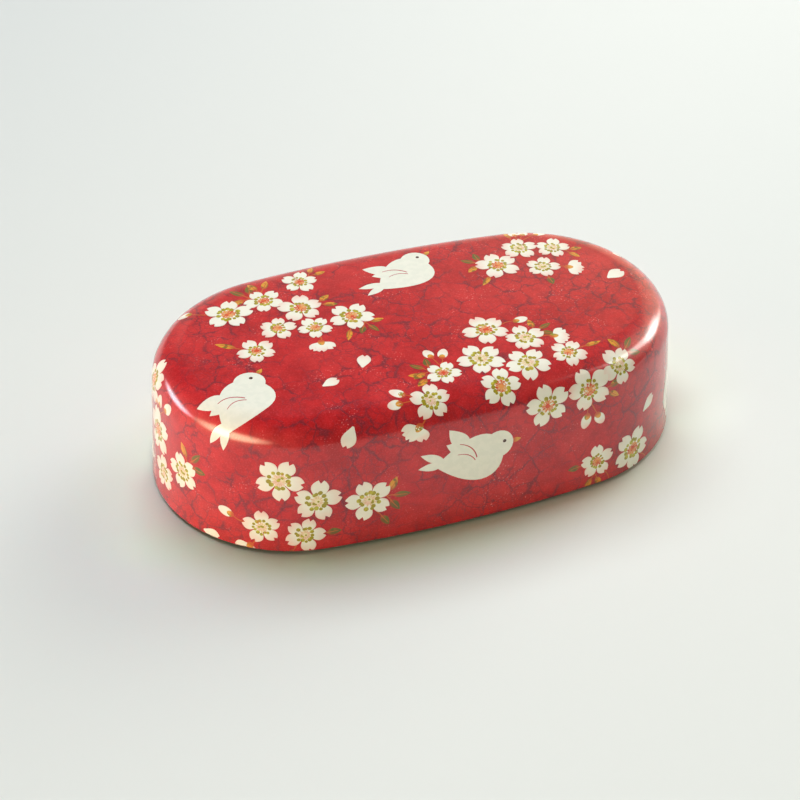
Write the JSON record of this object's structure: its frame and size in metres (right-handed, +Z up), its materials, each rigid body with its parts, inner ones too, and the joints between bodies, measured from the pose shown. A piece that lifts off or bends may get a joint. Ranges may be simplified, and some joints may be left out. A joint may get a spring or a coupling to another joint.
{
  "type": "bento box",
  "caption": "Oval single-tier lunch box: open tub with a sliding divider, a sealed plug-in inner lid and a deep slip-over cover with a blossom print.",
  "frame": {"origin": "on the table, under the middle of the box", "axes": "+X along the length, +Y across the width towards the back long side, +Z up"},
  "size_m": [0.182, 0.102, 0.0475],
  "materials": {
    "printed_cover_abs": "red crackled ground with a cherry-blossom print under a glossy clear coat",
    "black_abs": "glossy black lacquer look, fine moulded texture inside",
    "milky_polypropylene": "milky, slightly translucent, satin",
    "silicone_rubber": "matt, slightly translucent"
  },
  "bodies": {
    "tub": {"box_body": "black_abs"},
    "divider": {"divider": "milky_polypropylene"},
    "inner_lid": {"inner_lid": "milky_polypropylene", "lid_seal": "silicone_rubber"},
    "outer_cover": {"outer_cover": "printed_cover_abs"}
  },
  "joints": [
    {"name": "inner_lid_lift", "type": "slide", "parent": "tub", "child": "inner_lid", "axis": [0, 0, 1], "range_m": [0, 0.06]},
    {"name": "outer_cover_lift", "type": "slide", "parent": "inner_lid", "child": "outer_cover", "axis": [0, 0, 1], "range_m": [0, 0.06]},
    {"name": "divider_slide", "type": "slide", "parent": "tub", "child": "divider", "axis": [1, 0, 0], "range_m": [-0.05, 0]}
  ]
}
